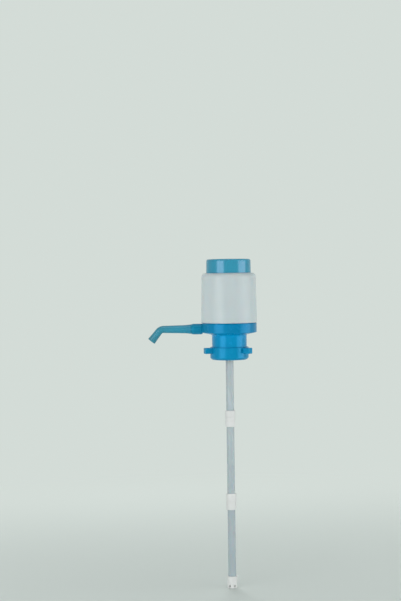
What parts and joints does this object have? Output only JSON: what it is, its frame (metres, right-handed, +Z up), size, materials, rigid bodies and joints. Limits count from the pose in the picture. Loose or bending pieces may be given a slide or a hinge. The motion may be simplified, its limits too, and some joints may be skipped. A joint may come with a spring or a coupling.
{
  "type": "water jug hand pump",
  "caption": "Hand pump for a large water bottle: a pressed cap squeezes a bellows that drives water up a dip tube and out of a bent spout.",
  "frame": {"origin": "middle of the bottle's lip plane, on the pump's axis, where the neck gasket seats", "axes": "+Z up along the pump's axis, -X towards the spout, -Y towards the viewer of the picture"},
  "size_m": [0.1992, 0.1024, 0.601],
  "materials": {
    "blue_plastic": "glossy, deep water blue",
    "cap_blue_plastic": "glossy, slightly greyer blue",
    "milky_plastic": "milky, lightly translucent, satin gloss",
    "white_plastic": "plain moulded white",
    "bellows_plastic": "soft natural polyethylene",
    "tube_plastic": "clear to milky extruded tube",
    "seal_rubber": "black nitrile rubber",
    "valve_silicone": "translucent silicone rubber",
    "screw_steel": "plain stainless steel"
  },
  "bodies": {
    "base": {"base_body": "blue_plastic", "deck_plate": "white_plastic", "deck_seal": "seal_rubber", "bellows_base_ring": "white_plastic", "bellows": "bellows_plastic", "housing": "milky_plastic", "neck_gasket": "seal_rubber", "tube_seal": "seal_rubber", "dip_tube_upper": "tube_plastic", "dip_tube_middle": "tube_plastic", "dip_tube_lower": "tube_plastic", "tube_coupler_upper": "white_plastic", "tube_coupler_lower": "white_plastic", "foot_strainer": "white_plastic", "base_screw_1": "screw_steel", "base_screw_2": "screw_steel", "base_screw_3": "screw_steel", "base_screw_4": "screw_steel"},
    "cap": {"press_cap": "cap_blue_plastic", "cap_plate": "white_plastic", "bellows_top_ring": "white_plastic", "cap_screw_1": "screw_steel", "cap_screw_2": "screw_steel", "cap_screw_3": "screw_steel", "cap_screw_4": "screw_steel"},
    "inlet_valve": {"inlet_valve": "valve_silicone"},
    "outlet_valve": {"outlet_valve": "valve_silicone"},
    "spout": {"spout": "cap_blue_plastic", "spout_oring_inner": "seal_rubber", "spout_oring_outer": "seal_rubber"},
    "grip_collet": {"grip_collet": "white_plastic"},
    "lock_ring": {"lock_ring": "blue_plastic"}
  },
  "joints": [
    {"name": "cap_press", "type": "slide", "parent": "base", "child": "cap", "axis": [0, 0, -1], "range_m": [0, 0.022], "stiffness_N_per_m": 400, "springref_m": -0.01, "deforming": ["bellows"]},
    {"name": "inlet_valve_lift", "type": "slide", "parent": "cap", "child": "inlet_valve", "axis": [0, 0, -1], "range_m": [0, 0.0015], "stiffness_N_per_m": 60, "springref_m": -0.001},
    {"name": "outlet_valve_lift", "type": "slide", "parent": "base", "child": "outlet_valve", "axis": [0, 0, -1], "range_m": [0, 0.0015], "stiffness_N_per_m": 60, "springref_m": -0.001},
    {"name": "spout_swivel", "type": "hinge", "parent": "base", "child": "spout", "pos_m": [-0.0695, 0, 0.0288], "axis": [-1, 0, 0], "continuous": true},
    {"name": "collet_slide", "type": "slide", "parent": "base", "child": "grip_collet", "axis": [0, 0, -1], "range_m": [0, 0.003]},
    {"name": "lock_ring_turn", "type": "hinge", "parent": "grip_collet", "child": "lock_ring", "pos_m": [0, 0, -0.0042], "axis": [0, 0, -1], "range_deg": [0, 90]}
  ],
  "couplings": [
    {"joint": "collet_slide", "follows": "lock_ring_turn", "m_per_rad": 0.0019099}
  ]
}
